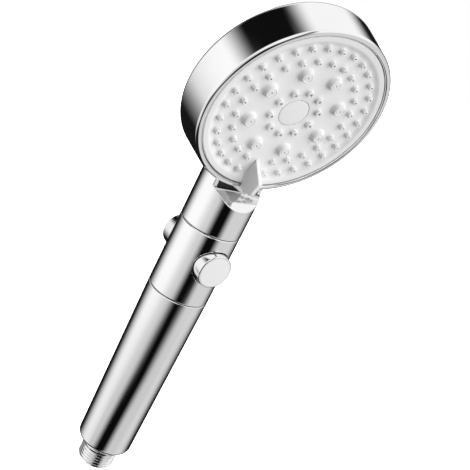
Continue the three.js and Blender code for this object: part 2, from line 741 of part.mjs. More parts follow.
function addHead() {
  add(part, 'head_shell', headShell(), chrome);
  const head = new THREE.Group();
  head.rotation.x = Math.PI / 2 + TILT;
  head.position.copy(FACE_CENTRE);
  addDistributor(head);
  addSprayDisc(head);
  part.add(head);
}

// The distributor with its screws, the sprung seal in its port and the sprung detent ball.
function addDistributor(head) {
  add(head, 'distributor', distributor(), acetal);
  SCREW_ANGLES.forEach((angle, i) => {
    const [x, y] = polar(SCREW_RADIUS, angle);
    const screw = panScrew(2.9, 1.7, 1.2, 7.6);
    add(head, `distributor_screw_${i + 1}`, moved(screw, x, y, -SCREW_SEAT + GAP), steel);
  });
  const seal = pipe(4.5, 2.6, -12.9, -DISTRIBUTOR_FRONT + 0.35, SMALL);
  const sealSpring = spring(3.6, 0.3, -15, -13.5, 2);
  add(head, 'port_seal', moved(seal, 0, -PORT_RADIUS, 0), rubber);
  add(head, 'port_seal_spring', moved(sealSpring, 0, -PORT_RADIUS, 0), steel);
  const [x, y] = polar(DETENT_RADIUS, DETENT_ANGLE);
  const ball = solid(new THREE.SphereGeometry(DETENT_BALL_R, TINY, 6));
  const ballSpring = spring(1.2, 0.25, -16.8, -14.4, 4);
  add(head, 'detent_ball', moved(ball, x, y, -12.4), steel);
  add(head, 'detent_spring', moved(ballSpring, x, y, 0), steel);
}

// The slightly domed cap over the centre screw.
function centreCap() {
  const back = -2.8;
  return turned([[0, back], [BADGE_R, back], [BADGE_R, -1.35], [0, -1]], ROUND);
}

function addSprayDisc(head) {
  add(head, 'selector_plate', selectorPlate(), acetal);
  add(head, 'nozzle_mat', nozzleMat(), silicone);
  add(head, 'spray_face', sprayFace(), satin);
  add(head, 'selector_lever', selectorLever(), satin);
  nozzlePlaces(MASSAGE).forEach(([x, y], i) => {
    add(head, `massage_nozzle_${i + 1}`, moved(massageNozzle(), x, y, 0), silicone);
  });
  add(head, 'centre_screw', moved(panScrew(3.2, 1.8, 1.5, 9.4), 0, 0, -6), steel);
  add(head, 'centre_washer', pipe(5, 1.9, -6.7, -6.3, SMALL), steel);
  add(head, 'centre_cap', centreCap(), satin);
}

addHandle();
addUpperTube();
addStopValve();
addHead();

export default part;
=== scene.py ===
"""Handheld shower head: the finished surfaces, their materials, the studio and the camera."""
import itertools
import json
import math

import bpy
import numpy as np
from mathutils import Matrix, Vector


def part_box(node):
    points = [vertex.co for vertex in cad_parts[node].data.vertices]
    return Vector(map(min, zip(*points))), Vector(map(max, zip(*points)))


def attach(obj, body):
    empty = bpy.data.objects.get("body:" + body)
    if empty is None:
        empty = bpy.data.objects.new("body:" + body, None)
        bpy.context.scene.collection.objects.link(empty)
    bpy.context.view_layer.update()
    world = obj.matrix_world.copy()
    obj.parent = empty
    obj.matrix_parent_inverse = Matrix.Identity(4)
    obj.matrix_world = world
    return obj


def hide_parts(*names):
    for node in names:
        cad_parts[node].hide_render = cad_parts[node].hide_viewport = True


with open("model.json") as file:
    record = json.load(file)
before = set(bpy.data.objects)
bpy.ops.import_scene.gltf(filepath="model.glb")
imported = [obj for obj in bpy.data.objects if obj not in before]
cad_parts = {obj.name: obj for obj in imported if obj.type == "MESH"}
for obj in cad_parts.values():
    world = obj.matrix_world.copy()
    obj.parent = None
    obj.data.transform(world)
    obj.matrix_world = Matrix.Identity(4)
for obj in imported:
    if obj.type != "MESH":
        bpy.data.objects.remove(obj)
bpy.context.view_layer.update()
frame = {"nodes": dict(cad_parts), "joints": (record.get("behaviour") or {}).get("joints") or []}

# Shapes are worked out in millimetres and scaled when their mesh is made.
MM = 0.001


def low(node, axis):
    """A CAD node's lowest coordinate along an axis."""
    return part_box(node)[0][axis] / MM


def high(node, axis):
    """A CAD node's highest coordinate along an axis."""
    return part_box(node)[1][axis] / MM


X, Y, Z = 0, 1, 2

# Handle.
HANDLE_R = high("valve_sleeve", X)
GRIP_LOW = low("grip_sleeve", Z)
GRIP_HIGH = high("grip_sleeve", Z)
SLEEVE_LOW = low("valve_sleeve", Z)
SLEEVE_HIGH = high("valve_sleeve", Z)
NECK_LOW = low("head_shell", Z)
GRIP_END_R = 15.6
GRIP_ROUND = 3.0
UPPER_EDGE_ROUND = 0.6
LOWER_EDGE_ROUND = 0.25
WALL = 2.0

# Hose thread and the fitting behind it.
THREAD_R = 10.48
THREAD_ROOT_R = 9.32
THREAD_PITCH = 1.814
THREAD_TURNS = 6
THREAD_ROWS = 24
CREST_SHARE = 0.15
ROOT_SHARE = 0.12
CREST_CROWN = 0.06
INLET_BORE_R = 7.2
INLET_BORE_DEPTH = 12
INLET_THROAT_R = 4.2
INLET_FLANGE_R = 13
INLET_FLANGE_HEIGHT = 3
INLET_SPIGOT_R = 9.2
INLET_SOCKET_R = 6.3
INLET_SOCKET_LOW = 28
GRIP_FLOOR = 2.5

# Push buttons.
BUTTON_R = high("button_front", X)
BUTTON_Z = (low("button_front", Z) + high("button_front", Z)) / 2
BUTTON_LENGTH = high("button_front", Y) - low("button_front", Y)
BUTTON_EDGE = 0.9
BUTTON_GAP = 0.45
BUTTON_WALL = 1.4
BUTTON_ROOF = -5.1
INLAY_SEAT = -1.5
INLAY_BACK = -1.2
INLAY_CROWN = 0.12
SCREW_HEAD_R = 3.6
SCREW_HEAD_BACK = -3.6
SCREW_HOLE_R = 2
GAP = 0.3

# The spray face leans forward; heights are along its normal, from the disc's outer band.
SELECTOR = next(joint for joint in frame["joints"] if joint["name"] == "spray_selector")
FACE_CENTRE = np.array(SELECTOR["pos_m"]) / MM
FACE_OUT = np.array(SELECTOR["axis"])
FACE_UP = np.cross(FACE_OUT, (1, 0, 0))
RIM_R = 51.8
RIM_TOP = 0.9
RIM_ROUND = 2.0
LIP_ROUND = 1.0
DRUM_BACK_R = high("head_shell", X)
DRUM_BACK_ROUND = 3.0
DRUM_DEPTH = 22
DRUM_DOME = 4
LIP_R = 48.7
CAVITY_DEPTH = 19.8
NOSE_Z = 190
NOSE_LENGTH = 50

# Water way inside the neck: the socket for the valve, and the bore that runs on above it.
SOCKET_TOP = 171
WATER_BORE_Y = 7.2
WATER_BORE_R = 7.8
WATER_BORE_LOW = 170

# Spray disc.
DISC_R = LIP_R - GAP
BAND_R = 45.2
DISH_R = 42.6
DISH = -1.5
DISC_BACK = -4.6
HUB_BACK = -10.1
SKIRT_BACK = -7.2
BADGE_R = 8
BADGE_BACK = -2.8
BADGE_SEAT = DISH - 1.6
HUB_R = 7
CENTRE_SCREW_HEAD_R = 5.4
CENTRE_SCREW_HEAD_BACK = -7
CENTRE_SCREW_HOLE_R = 2.1
LEVER_ANGLE = 270
OUTER_RING = {"radius": 40.65, "count": 30, "first": 6, "top": 1.1}
SECOND_RING = {"radius": 32.64, "count": 24, "first": 0, "top": 1.0}
MIST_RING = {"radius": 13.43, "count": 10, "first": 18, "top": 0.5}
MASSAGE_RING = {"radius": 24.5, "count": 8, "first": 22.5, "top": 1.4}

# Finger scoop in the front of the neck, as heights over y.
CREASE_Y, CREASE_Z = -10.9, 184.1
SCOOP_SLOPE = 0.785
LEDGE_SLOPE = 0.6
LEDGE_BACK_Y = -6.5
POCKET_R = 14.8
POCKET_Z = 184.4
POCKET_BACK_Y = -1.5
POCKET_TOP = 192
SKIN_OVERLAP = 0.9

# Lever: an upright fin across the lower edge of the disc, with a spreading plate at its outer end.
FIN_HALF = 1.35
FIN_SWELL = 0.95
FIN_SWELL_V = -43.5
FIN_SWELL_LENGTH = 9.5
FIN_SWELL_HEIGHT = 2.4
UNDERCUT = 0.5
FIN_OUTLINE = ((-32.4, DISH), (-38.2, 10.9), (-46.7, 10.8), (-49.4, 5.2))
LEVER_INNER_R = -FIN_OUTLINE[0][0]
LEVER_FOOT = DISH - 0.4
PLATE_V = -49.9
PLATE_HALF = 0.5
PLATE_SPREAD = 4.3
PLATE_HEIGHT = 6.2
PLATE_TOP = 6

# Segments round a full circle.
EXTRA_FINE = 256
FINE = 192
MEDIUM = 96
NOZZLE = 48
SMALL = 32
ARC_STEP = math.radians(12)
CREASE_ANGLE = math.radians(35)

# Spacing of the grids that the neck, the sleeve, the near-black sheet of painted shade in the pocket
# and the lever are drawn from.
NET_STEP = 0.42
NET_EDGE_STEP = 0.1
NET_EDGE = 1.2
SHADE_SHEET_STEP = 0.4
LEVER_STEP = 0.24


# ---------------------------------------------------------------- meshes

def placed(name, mesh, body, slot, material, *stands_for):
    """A piece of the object, riding on its body and standing for CAD nodes."""
    piece = bpy.data.objects.new(name, mesh)
    bpy.context.scene.collection.objects.link(piece)
    piece.data.materials.append(material)
    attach(piece, body)
    if stands_for:
        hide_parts(*stands_for)
    return piece


def mesh_of(name, points, faces, corner_normals=None):
    """A smooth mesh from millimetre points, with its own corner normals if they are given."""
    mesh = bpy.data.meshes.new(name)
    mesh.from_pydata((np.asarray(points) * MM).tolist(), [], faces)
    mesh.update()
    mesh.shade_smooth()
    if corner_normals is None:
        mesh.set_sharp_from_angle(angle=CREASE_ANGLE)
    else:
        mesh.normals_split_custom_set(corner_normals)
    return mesh


def rounded(*corners):
    """Outline points through (r, z) corners. A third number rounds the corner to that radius."""
    points = []
    for i, corner in enumerate(corners):
        here = np.array(corner[:2], float)
        if len(corner) == 2:
            points.append(here)
            continue
        before = np.array(corners[i - 1][:2]) - here
        after = np.array(corners[(i + 1) % len(corners)][:2]) - here
        before /= np.linalg.norm(before)
        after /= np.linalg.norm(after)
        half = math.acos(np.clip(before @ after, -1, 1)) / 2
        middle = (before + after) / np.linalg.norm(before + after)
        centre = here + middle * corner[2] / math.sin(half)
        reach = corner[2] / math.tan(half)
        start = here + before * reach - centre
        end = here + after * reach - centre
        turn = math.pi - 2 * half
        steps = max(3, math.ceil(turn / ARC_STEP))
        for step in range(steps + 1):
            along = step / steps * turn
            weights = math.sin(turn - along), math.sin(along)
            points.append(centre + (start * weights[0] + end * weights[1]) / math.sin(turn))
    return points


def domed(radius, edge, rise, steps):
    """Outline points of a shallow dome, from beside its edge to its top on the axis."""
    shares = [i / steps for i in range(1, steps + 1)]
    return [(radius * (1 - share), edge + rise * share * (2 - share)) for share in shares]


def profile_normals(points, closed):
    """For each stretch of a profile, its normals at both ends, blended over soft corners."""
    count = len(points)
    stretches = count if closed else count - 1
    flat, length = [], []
    for i in range(stretches):
        step = points[(i + 1) % count] - points[i]
        length.append(np.linalg.norm(step))
        flat.append(np.array((step[1], -step[0])) / length[-1])

    def blended(i, j):
        if not closed and not (0 <= i < stretches and 0 <= j < stretches):
            return None
        i, j = i % stretches, j % stretches
        if flat[i] @ flat[j] < math.cos(CREASE_ANGLE):
            return None
        mix = flat[i] * length[i] + flat[j] * length[j]
        return mix / np.linalg.norm(mix)

    ends = []
    for i in range(stretches):
        start, end = blended(i - 1, i), blended(i, i + 1)
        ends.append((flat[i] if start is None else start, flat[i] if end is None else end))
    return ends


def revolved(profile, segments, radius_at=None):
    """Points, faces and corner normals of a profile turned about Z: up the outside, down the inside."""
    profile = [np.array(point, float) for point in profile]
    closed = profile[0][0] > 0
    angles = np.arange(segments) * 2 * math.pi / segments
    points, rings = [], []
    for radius, height in profile:
        first = len(points)
        if radius == 0:
            points.append((0, 0, height))
            rings.append([first] * segments)
            continue
        radii = np.full(segments, radius) if radius_at is None else radius_at(radius, height, angles)
        heights = np.full(segments, height)
        points.extend(np.column_stack((radii * np.cos(angles), radii * np.sin(angles), heights)))
        rings.append(list(range(first, first + segments)))
    faces, normals = [], []
    for i, (start, end) in enumerate(profile_normals(profile, closed)):
        near, far = rings[i], rings[(i + 1) % len(rings)]
        for j in range(segments):
            k = (j + 1) % segments
            corners = [(near[j], start, j), (near[k], start, k), (far[k], end, k), (far[j], end, j)]
            if near[j] == near[k]:
                del corners[1]
            elif far[j] == far[k]:
                del corners[3]
            faces.append([corner[0] for corner in corners])
            for _, (out, up), turn in corners:
                normals.append((out * math.cos(angles[turn]), out * math.sin(angles[turn]), up))
    return np.array(points), faces, np.array(normals)


def turned(name, profile, segments=FINE, place=None):
    """A lathe-turned mesh, moved by a rigid 4 by 4 placement in millimetres."""
    points, faces, normals = revolved(profile, segments)
    if place is not None:
        points = points @ place[:3, :3].T + place[:3, 3]
        normals = normals @ place[:3, :3].T
    return mesh_of(name, points, faces, normals)


def gradient(distance, points, reach=1e-3):
    """Slopes of a distance function at points."""
    slopes = np.empty_like(points)
    for axis in range(3):
        shift = np.zeros(3)
        shift[axis] = reach
        slopes[:, axis] = distance(*(points + shift).T) - distance(*(points - shift).T)
    return slopes / (2 * reach)


def surface_net(distance, axes):
    """Quads over the zero surface of a distance function, pulled onto it, with its normals."""
    inside = distance(*np.meshgrid(*axes, indexing="ij")) < 0
    cells = np.array(inside.shape) - 1
    filled = np.zeros(cells, int)
    for shift in itertools.product((0, 1), repeat=3):
        filled += inside[tuple(slice(s, s + n) for s, n in zip(shift, cells))]
    crossed = (filled > 0) & (filled < 8)
    number = np.full(cells, -1)
    number[crossed] = np.arange(crossed.sum())
    where = np.argwhere(crossed)
    points = np.column_stack([(axes[a][where[:, a]] + axes[a][where[:, a] + 1]) / 2 for a in range(3)])
    for _ in range(6):
        slopes = gradient(distance, points)
        steepness = np.maximum((slopes ** 2).sum(1), 0.05)
        move = slopes * (distance(*points.T) / steepness)[:, None]
        points -= np.clip(move, -0.3, 0.3)
    faces = []
    for a in range(3):
        b, c = (a + 1) % 3, (a + 2) % 3
        lower = inside.take(range(cells[a]), axis=a)
        upper = inside.take(range(1, cells[a] + 1), axis=a)
        edges = np.argwhere(lower != upper)
        edges = edges[(edges[:, b] > 0) & (edges[:, c] > 0)]
        edges = edges[(edges[:, b] < cells[b]) & (edges[:, c] < cells[c])]
        step_b, step_c = np.eye(3, dtype=int)[b], np.eye(3, dtype=int)[c]
        ring = [edges - step_b - step_c, edges - step_c, edges, edges - step_b]
        quads = np.column_stack([number[tuple(cell.T)] for cell in ring])
        outward = lower[tuple(edges.T)]
        quads[~outward] = quads[~outward][:, ::-1]
        faces.extend(quads.tolist())
    normals = gradient(distance, points)
    normals /= np.linalg.norm(normals, axis=1)[:, None]
    return points, faces, normals


def net_mesh(name, distance, axes, place=None):
    """A mesh of a distance function's zero surface, moved by a placement if one is given."""
    points, faces, normals = surface_net(distance, axes)
    if place is not None:
        points = points @ place[:3, :3].T + place[:3, 3]
        normals = normals @ place[:3, :3].T
    corners = normals[np.array(faces).ravel()]
    return mesh_of(name, points, faces, corners)


def joined(name, *meshes):
    """One mesh of several closed skins, keeping each one's normals."""
    points, faces, normals = [], [], []
    for mesh in meshes:
        first = len(points)
        points.extend(np.array(vertex.co) / MM for vertex in mesh.vertices)
        faces.extend([first + v for v in face.vertices] for face in mesh.polygons)
        normals.extend(tuple(corner.vector) for corner in mesh.corner_normals)
        bpy.data.meshes.remove(mesh)
    return mesh_of(name, points, faces, normals)


def smooth_max(a, b, blend):
    """The larger of two distances, with the edge between them rounded over the blend."""
    overlap = np.maximum(blend - np.abs(a - b), 0) / blend
    return np.maximum(a, b) + overlap ** 2 * blend / 4


def smooth_min(a, b, blend):
    return -smooth_max(-a, -b, blend)


def spaced(start, end, step):
    """Even places from start to end, no more than a step apart."""
    return np.linspace(start, end, math.ceil((end - start) / step) + 1)


# ---------------------------------------------------------------- placements

def placement(right, up, out, centre):
    """A rigid placement whose Z axis is out."""
    place = np.eye(4)
    place[:3, :3] = np.column_stack((right, up, out))
    place[:3, 3] = centre
    return place


FACE = placement((1, 0, 0), FACE_UP, FACE_OUT, FACE_CENTRE)


def on_face(radius, degrees, height=0.0):
    """FACE moved to a point of the spray face, given by radius and angle."""
    angle = math.radians(degrees)
    place = FACE.copy()
    offset = (radius * math.cos(angle), radius * math.sin(angle), height)
    place[:3, 3] = FACE[:3, :3] @ offset + FACE_CENTRE
    return place


def ring_angles(ring):
    """Angles of a ring's nozzles; one that would stand under the lever is left out."""
    angles = [ring["first"] + 360 / ring["count"] * i for i in range(ring["count"])]
    if ring["radius"] < LEVER_INNER_R:
        return angles
    return [angle for angle in angles if abs(angle - LEVER_ANGLE) > 1]


def button_place(side):
    """Z out of the handle, with the origin in the middle of the button's front edge plane."""
    node = f"button_{side}"
    if side == "front":
        return placement((1, 0, 0), (0, 0, 1), (0, -1, 0), (0, low(node, Y), BUTTON_Z))
    return placement((-1, 0, 0), (0, 0, 1), (0, 1, 0), (0, high(node, Y), BUTTON_Z))


# ---------------------------------------------------------------- materials

class Graph:
    """Adds nodes to a tree and links them."""

    def __init__(self, tree):
        self.tree = tree
        tree.nodes.clear()

    def node(self, kind, inputs=None, **settings):
        made = self.tree.nodes.new(kind)
        for key, value in settings.items():
            setattr(made, key, value)
        for key, value in (inputs or {}).items():
            self.set(made.inputs[key], value)
        return made

    def set(self, socket, value):
        if isinstance(value, bpy.types.NodeSocket):
            self.tree.links.new(value, socket)
        else:
            socket.default_value = value

    def math(self, operation, a, b=0.0, c=0.0):
        made = self.node("ShaderNodeMath", operation=operation)
        for socket, value in zip(made.inputs, (a, b, c)):
            self.set(socket, value)
        return made.outputs[0]

    def mix(self, share, first, second):
        """A colour between two colours or sockets; a plain value links as grey."""
        made = self.node("ShaderNodeMix", {0: share}, data_type="RGBA")
        self.set(made.inputs[6], first)
        self.set(made.inputs[7], second)
        return made.outputs[2]

    def remap(self, value, to_low, to_high, from_low=0.0, from_high=1.0):
        limits = {1: from_low, 2: from_high, 3: to_low, 4: to_high}
        return self.node("ShaderNodeMapRange", {0: value, **limits}).outputs[0]

    def noise(self, vector, scale, detail=3.0, roughness=0.5):
        inputs = {"Vector": vector, "Scale": scale, "Detail": detail, "Roughness": roughness}
        return self.node("ShaderNodeTexNoise", inputs).outputs["Fac"]


def material(name, colour, worn, roughness, bump, metallic=0.0, coordinates=None, **shader):
    """A procedural finish.

    colour and worn are the two ends of its mottling, roughness a low and a high, and bump
    (features per metre, height in metres). coordinates may stretch the grain.
    """
    made = bpy.data.materials.new(name)
    made.use_nodes = True
    graph = Graph(made.node_tree)
    place = graph.node("ShaderNodeTexCoord").outputs["Object"]
    grain_place = place
    if coordinates is not None:
        inputs = {"Vector": place, "Scale": coordinates}
        grain_place = graph.node("ShaderNodeMapping", inputs).outputs["Vector"]
    clouds = graph.noise(place, 45.0, 4.0)
    mottle = graph.mix(graph.remap(clouds, 0, 1, 0.3, 0.7), (*worn, 1), (*colour, 1))
    smears = graph.noise(grain_place, 160.0, 5.0, 0.6)
    gloss = graph.remap(smears, roughness[0], roughness[1], 0.3, 0.7)
    grain = graph.noise(grain_place, bump[0], 2.0)
    relief = graph.node("ShaderNodeBump", {"Height": grain, "Strength": 1.0, "Distance": bump[1]})
    inputs = {
        "Base Color": mottle,
        "Metallic": metallic,
        "Roughness": gloss,
        "Normal": relief.outputs["Normal"],
        **shader,
    }
    surface = graph.node("ShaderNodeBsdfPrincipled", inputs)
    output = graph.node("ShaderNodeOutputMaterial")
    graph.set(output.inputs["Surface"], surface.outputs["BSDF"])
    return made


CHROME = material(
    "chrome", (0.97, 0.97, 0.97), (0.95, 0.952, 0.955), (0.03, 0.05), (90, 2e-6), metallic=1.0,
)
SATIN = material(
    "satin_plastic", (0.80, 0.80, 0.80), (0.785, 0.786, 0.788), (0.36, 0.46), (5200, 6e-6),
)
SILICONE = material(
    "silicone", (0.79, 0.79, 0.79), (0.77, 0.771, 0.772), (0.42, 0.55), (3600, 8e-6),
)
INLAY = material(
    "button_satin", (0.86, 0.86, 0.86), (0.84, 0.841, 0.842), (0.3, 0.4), (2600, 5e-6),
    coordinates=(1, 1, 6), metallic=0.35,
)
ACETAL = material("acetal", (0.86, 0.86, 0.84), (0.82, 0.82, 0.79), (0.35, 0.5), (1500, 1.5e-5))
# Near-black rubber for the real O-rings and seals; the same finish colours the pocket sheet, where it
# is painted shade.
RUBBER_AND_SHADE_BLACK = material("rubber", (0.012, 0.012, 0.0125), (0.02, 0.02, 0.02), (0.55, 0.75), (2500, 1.5e-5))
STEEL = material(
    "steel", (0.62, 0.63, 0.64), (0.5, 0.51, 0.52), (0.22, 0.38), (900, 6e-6),
    metallic=1.0, coordinates=(1, 1, 12),
)
BRASS = material(
    "brass", (0.74, 0.58, 0.32), (0.6, 0.44, 0.22), (0.2, 0.36), (900, 8e-6),
    metallic=1.0, coordinates=(1, 14, 1),
)


# ---------------------------------------------------------------- handle

def thread_radius(height, angle):
    """A thread with broad rounded crests, chamfered where it starts and ends."""
    length = THREAD_TURNS * THREAD_PITCH
    phase = (height / THREAD_PITCH - angle / (2 * math.pi)) % 1
    from_crest = np.abs(2 * phase - 1)
    fall = np.clip((from_crest - CREST_SHARE) / (1 - CREST_SHARE - ROOT_SHARE), 0, 1)
    crown = CREST_CROWN * np.minimum(from_crest / CREST_SHARE, 1) ** 2
    full = THREAD_R - crown - (THREAD_R - CREST_CROWN - THREAD_ROOT_R) * fall
    return np.minimum(full, THREAD_ROOT_R + 0.1 + np.minimum(height, length - height))


def thread_normals(points):
    """Normals of the thread's skin at points on it."""
    angle, height = np.arctan2(points[:, 1], points[:, 0]), points[:, 2]
    reach = 0.02
    radius = thread_radius(height, angle)
    rise = (thread_radius(height + reach, angle) - thread_radius(height - reach, angle)) / (2 * reach)
    turn = reach / radius
    swing = (thread_radius(height, angle + turn) - thread_radius(height, angle - turn)) / (2 * reach)
    cos, sin = np.cos(angle), np.sin(angle)
    normals = np.column_stack((cos + swing * sin, sin - swing * cos, -rise))
    return normals / np.linalg.norm(normals, axis=1)[:, None]


def inlet_fitting():
    """Threaded nose, flange behind the grip's shoulder, and the socket for the water tube."""
    top = high("inlet_fitting", Z)
    flange = GRIP_LOW + GRIP_FLOOR + GAP
    shoulder = flange + INLET_FLANGE_HEIGHT
    length = THREAD_TURNS * THREAD_PITCH
    threads = [(THREAD_R, z) for z in spaced(0, length, THREAD_PITCH / THREAD_ROWS)]
    rest = rounded(
        (THREAD_ROOT_R, length + 0.3), (THREAD_ROOT_R, flange), (INLET_FLANGE_R, flange, 0.3),
        (INLET_FLANGE_R, shoulder, 0.3), (INLET_SPIGOT_R, shoulder + 1),
        (INLET_SPIGOT_R, top, 0.3), (INLET_SOCKET_R, top, 0.3), (INLET_SOCKET_R, INLET_SOCKET_LOW),
        (INLET_THROAT_R, INLET_SOCKET_LOW), (INLET_THROAT_R, INLET_BORE_DEPTH),
        (INLET_BORE_R, INLET_BORE_DEPTH), (INLET_BORE_R, 0.4), (INLET_BORE_R + 0.4, 0),
    )

    def radius_at(radius, height, angles):
        return thread_radius(height, angles) if radius == THREAD_R else np.full(len(angles), radius)

    points, faces, normals = revolved(threads + list(rest), FINE, radius_at)
    corners = np.array(faces[:(len(threads) - 1) * FINE]).ravel()
    normals[:len(corners)] = thread_normals(points[corners])
    return mesh_of("inlet_fitting", points, faces, normals)


def grip_sleeve():
    """The tapered lower sleeve, with a floor that the inlet's flange sits on."""
    inner = GRIP_END_R - WALL
    floor = GRIP_LOW + GRIP_FLOOR
    throat = THREAD_ROOT_R + GAP
    return turned("grip_sleeve", rounded(
        (GRIP_END_R, GRIP_LOW, GRIP_ROUND), (HANDLE_R, GRIP_HIGH, UPPER_EDGE_ROUND),
        (HANDLE_R - WALL, GRIP_HIGH, 0.2), (inner, floor), (throat, floor),
        (throat, GRIP_LOW, 0.2),
    ))


def sleeve_distance(x, y, z):
    """The valve sleeve: a tube between two soft seams with a round opening for each button."""
    radius = np.hypot(x, y)
    outside = smooth_max(radius - HANDLE_R, SLEEVE_LOW - z, 2 * LOWER_EDGE_ROUND)
    outside = smooth_max(outside, z - SLEEVE_HIGH, 2 * UPPER_EDGE_ROUND)
    tube = np.maximum(outside, HANDLE_R - WALL - radius)
    opening = BUTTON_R + BUTTON_GAP - np.hypot(x, z - BUTTON_Z)
    return smooth_max(tube, opening, 0.35)


def valve_sleeve():
    """The sleeve's mesh, finest at its two seams."""
    across = spaced(-HANDLE_R - 0.7, HANDLE_R + 0.7, NET_STEP)
    up = np.concatenate((
        spaced(SLEEVE_LOW - 0.3, SLEEVE_LOW + NET_EDGE, NET_EDGE_STEP)[:-1],
        spaced(SLEEVE_LOW + NET_EDGE, SLEEVE_HIGH - NET_EDGE, NET_STEP)[:-1],
        spaced(SLEEVE_HIGH - NET_EDGE, SLEEVE_HIGH + 0.3, NET_EDGE_STEP),
    ))
    return net_mesh("valve_sleeve", sleeve_distance, (across, across, up))


def button(side):
    """A cap with a rounded front edge, open at the back, and a shallow seat for its inlay."""
    seat = BUTTON_R - BUTTON_EDGE - 0.15
    inner = BUTTON_R - BUTTON_WALL
    return turned(f"button_{side}", rounded(
        (inner, -BUTTON_LENGTH), (BUTTON_R, -BUTTON_LENGTH, 0.3), (BUTTON_R, 0, BUTTON_EDGE),
        (seat, 0, 0.05), (seat, INLAY_SEAT), (SCREW_HEAD_R, INLAY_SEAT),
        (SCREW_HEAD_R, SCREW_HEAD_BACK), (SCREW_HOLE_R, SCREW_HEAD_BACK),
        (SCREW_HOLE_R, BUTTON_ROOF), (inner, BUTTON_ROOF),
    ), FINE, button_place(side))


def button_inlay(side):
    """The satin disc in a button, a little crowned."""
    radius = BUTTON_R - BUTTON_EDGE - 0.17
    crown = domed(radius, 0, INLAY_CROWN, 6)
    return turned(f"button_inlay_{side}", rounded(
        (0, INLAY_BACK), (radius, INLAY_BACK), (radius, 0, 0.12), crown[0],
    ) + crown[1:], FINE, button_place(side))


# ---------------------------------------------------------------- head

def drum():
    """The chrome drum with its rolled rim, open in front, domed at the back."""
    back = -DRUM_DEPTH
    inner = DRUM_BACK_R - DRUM_BACK_ROUND
    steps = 14
    shares = [i / steps for i in range(steps)]
    dome = [(inner * share, back - DRUM_DOME * (1 - share ** 2)) for share in shares]
    edge = rounded(
        dome[-1], (DRUM_BACK_R - 0.1, back, DRUM_BACK_ROUND), (RIM_R, RIM_TOP, RIM_ROUND),
        (LIP_R, RIM_TOP, LIP_ROUND), (LIP_R, -CAVITY_DEPTH, 0.4), (0, -CAVITY_DEPTH),
    )
    return turned("drum", dome[:-1] + edge, EXTRA_FINE, FACE)


def face_coordinates(x, y, z):
    """Height out of the rim plane and radius from the face's axis."""
    along = (y - FACE_CENTRE[1], z - FACE_CENTRE[2])
    height = FACE_OUT[1] * along[0] + FACE_OUT[2] * along[1]
    up = FACE_UP[1] * along[0] + FACE_UP[2] * along[1]
    return height, np.hypot(x, up)


def outside_drum(x, y, z):
    """How far a point is outside the drum's skin."""
    height, out = face_coordinates(x, y, z)
    side = out - (RIM_R + (RIM_R - DRUM_BACK_R) / DRUM_DEPTH * height)
    back = -DRUM_DEPTH - DRUM_DOME * (1 - (out / DRUM_BACK_R) ** 2) - height
    return np.maximum(np.maximum(side, back), height)


def pocket_distance(x, y, z):
    """The hollow behind the scoop's ledge, under the drum."""
    walls = np.maximum(np.hypot(x, y) - POCKET_R, POCKET_Z - z)
    return np.maximum(walls, np.maximum(LEDGE_BACK_Y - 0.6 - y, y - POCKET_BACK_Y))


def neck_distance(x, y, z):
    """The neck, its rounded nose behind the drum, the finger scoop and the water way."""
    radius = np.hypot(x, y) + 1e-6
    lift = np.maximum(z - NOSE_Z, 0)
    reach = np.hypot(radius / HANDLE_R, lift / NOSE_LENGTH)
    pull = np.hypot(radius / HANDLE_R ** 2, lift / NOSE_LENGTH ** 2)
    body = reach * (reach - 1) / pull
    body = smooth_max(body, NECK_LOW - z, 2 * LOWER_EDGE_ROUND)
    slope = z - CREASE_Z - SCOOP_SLOPE * (y - CREASE_Y)
    ledge = z - CREASE_Z - LEDGE_SLOPE * (y - CREASE_Y)
    under = smooth_max(slope / math.hypot(1, SCOOP_SLOPE), ledge / math.hypot(1, LEDGE_SLOPE), 0.5)
    kept = smooth_min(under, LEDGE_BACK_Y - y, 0.3)
    body = smooth_max(body, kept, 0.4)
    body = smooth_max(body, -pocket_distance(x, y, z), 0.3)
    body = np.maximum(body, -outside_drum(x, y, z) - SKIN_OVERLAP)
    socket = np.maximum(np.hypot(x, y) - (HANDLE_R - WALL), z - SOCKET_TOP)
    bore = np.maximum(np.hypot(x, y - WATER_BORE_Y) - WATER_BORE_R, WATER_BORE_LOW - z)
    return np.maximum(body, -np.minimum(socket, bore))


def shade_sheet_distance(x, y, z):
    """A near-black sheet that closes the pocket: painted shade, standing where the slit under the rim
    is only in shadow.
    """
    front = np.maximum(LEDGE_BACK_Y + 0.5 - y, pocket_distance(x, y, z) + 0.1)
    return smooth_max(front, -outside_drum(x, y, z) + 0.1, 0.3)


def pocket_shade_sheet():
    """The mesh of the near-black sheet of painted shade in the pocket."""
    across = spaced(-POCKET_R - 0.5, POCKET_R + 0.5, SHADE_SHEET_STEP)
    through = spaced(LEDGE_BACK_Y, POCKET_BACK_Y + 0.5, SHADE_SHEET_STEP)
    up = spaced(POCKET_Z - 0.5, POCKET_TOP, SHADE_SHEET_STEP)
    return net_mesh("pocket_shade_sheet", shade_sheet_distance, (across, through, up))


def neck():
    """The neck's mesh, finest at the seam."""
    across = spaced(-HANDLE_R - 0.8, HANDLE_R + 0.8, NET_STEP)
    top = NOSE_Z + NOSE_LENGTH + 1
    up = np.concatenate((
        spaced(NECK_LOW - 0.3, NECK_LOW + NET_EDGE, NET_EDGE_STEP)[:-1],
        spaced(NECK_LOW + NET_EDGE, top, NET_STEP),
    ))
    return net_mesh("neck", neck_distance, (across, across, up))


# ---------------------------------------------------------------- spray disc

